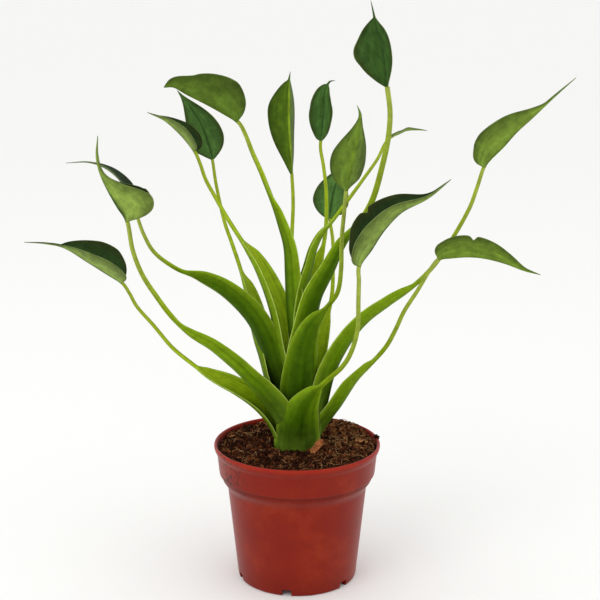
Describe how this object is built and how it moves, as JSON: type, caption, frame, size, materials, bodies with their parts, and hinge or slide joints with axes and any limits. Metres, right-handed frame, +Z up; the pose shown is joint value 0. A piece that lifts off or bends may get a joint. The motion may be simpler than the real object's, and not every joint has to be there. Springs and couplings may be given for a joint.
{
  "type": "potted plant",
  "caption": "Tiny dancer alocasia in a moulded nursery pot: fleshy sheaths rise from the potting mix into thin petioles, each with a cupped, long-tipped blade.",
  "frame": {"origin": "on the ground, in the middle of the pot's foot", "axes": "+Z up along the pot's axis, +X to the right and +Y away from the viewer of the picture"},
  "size_m": [0.3694, 0.1918, 0.4121],
  "materials": {
    "pot": "moulded, low sheen",
    "potting_mix": "loose and matt",
    "rootstock": "matt skin",
    "bark": "broken, matt",
    "stalk": "waxy, soft sheen",
    "blade": "waxy, soft sheen"
  },
  "bodies": {
    "root": {"pot": "pot", "potting_mix": "potting_mix", "rootstock": "rootstock", "bark_chip": "bark", "leaf_a_stalk": "stalk", "leaf_a_blade": "blade", "leaf_d_stalk": "stalk", "leaf_d_blade": "blade", "leaf_o_stalk": "stalk", "leaf_o_blade": "blade", "leaf_m_stalk": "stalk", "leaf_m_blade": "blade", "leaf_e_stalk": "stalk", "leaf_e_blade": "blade", "leaf_n_stalk": "stalk", "leaf_n_blade": "blade", "leaf_b_stalk": "stalk", "leaf_b_blade": "blade", "leaf_g_stalk": "stalk", "leaf_g_blade": "blade", "leaf_c_stalk": "stalk", "leaf_c_blade": "blade", "leaf_i_stalk": "stalk", "leaf_i_blade": "blade", "leaf_k_stalk": "stalk", "leaf_k_blade": "blade", "leaf_f_stalk": "stalk", "leaf_f_blade": "blade", "leaf_l_stalk": "stalk", "leaf_l_blade": "blade", "leaf_j_stalk": "stalk", "leaf_j_blade": "blade", "leaf_h_stalk": "stalk", "leaf_h_blade": "blade"}
  },
  "joints": []
}
